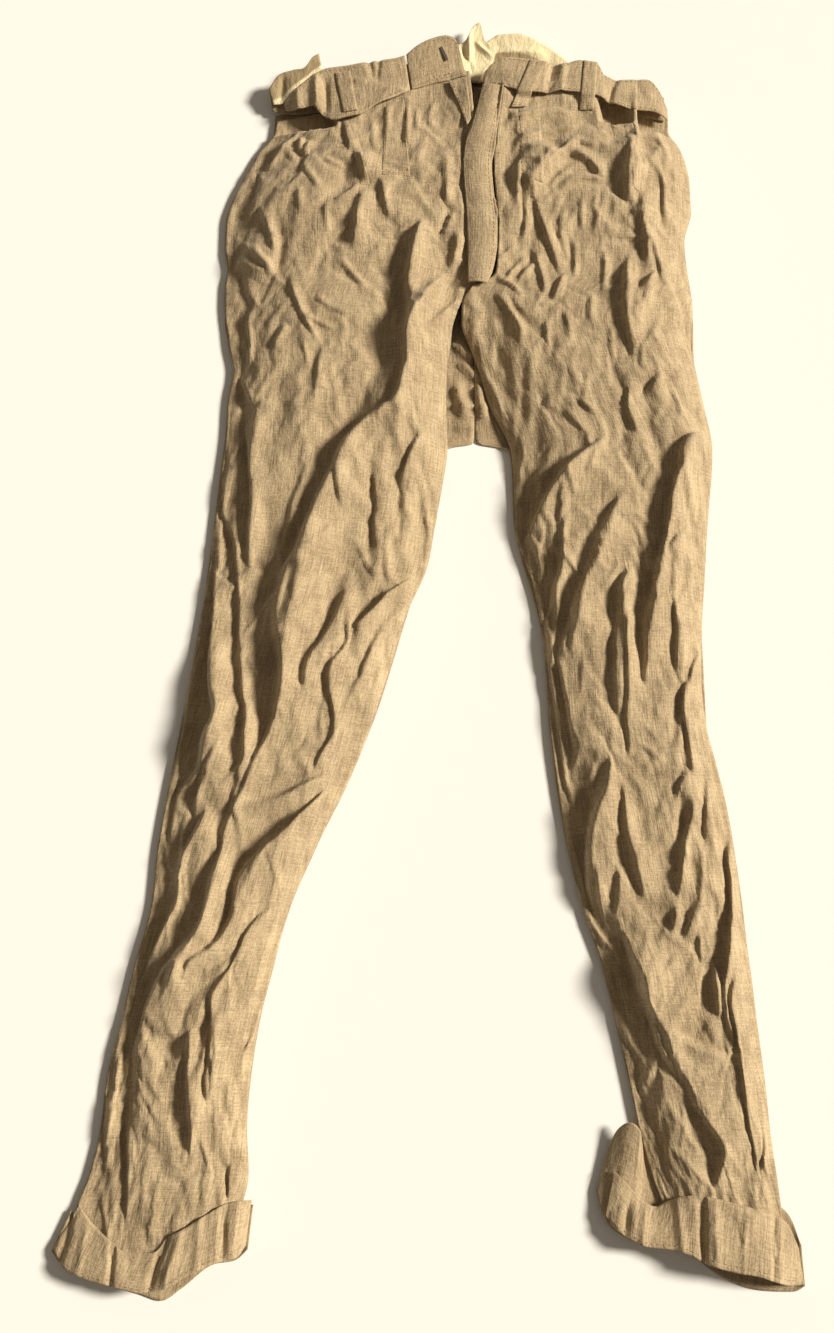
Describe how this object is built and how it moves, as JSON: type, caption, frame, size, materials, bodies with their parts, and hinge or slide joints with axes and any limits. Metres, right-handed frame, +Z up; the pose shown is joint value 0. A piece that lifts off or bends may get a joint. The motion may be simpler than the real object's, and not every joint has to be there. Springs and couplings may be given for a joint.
{
  "type": "dress pants",
  "caption": "crumpled slub linen dress trousers laid flat, with gathered waistband, fly, slant pockets, stitched pleats and turned-up hems",
  "frame": {"origin": "centre of the bounding box at the resting surface", "axes": "+X toward the wearer's left, +Y toward the waist, +Z up out of the front of the garment"},
  "size_m": [0.529, 1.038, 0.048],
  "materials": {
    "linen": "matte slub plain weave",
    "linen_back": "matte slub plain weave",
    "facing_cream": "matte plain weave",
    "hook_metal": "satin"
  },
  "bodies": {
    "root": {"front_right": "linen", "front_left": "linen", "waistband_right": "linen", "waistband_tab_right": "linen", "waistband_left": "linen", "fly_shield_right": "linen", "fly_placket_left": "linen", "pleat_right": "linen", "pleat_left": "linen", "pocket_edge_right": "linen", "pocket_edge_left": "linen", "belt_loop_right": "linen", "belt_loop_left_front": "linen", "belt_loop_left_side": "linen", "cuff_right_front": "linen", "cuff_left_front": "linen", "back_right": "linen_back", "back_left": "linen_back", "waistband_back": "linen_back", "cuff_right_back": "linen_back", "cuff_left_back": "linen_back", "facing_right": "facing_cream", "facing_back": "facing_cream", "lining_back": "facing_cream", "hook_bar": "hook_metal"}
  },
  "joints": []
}
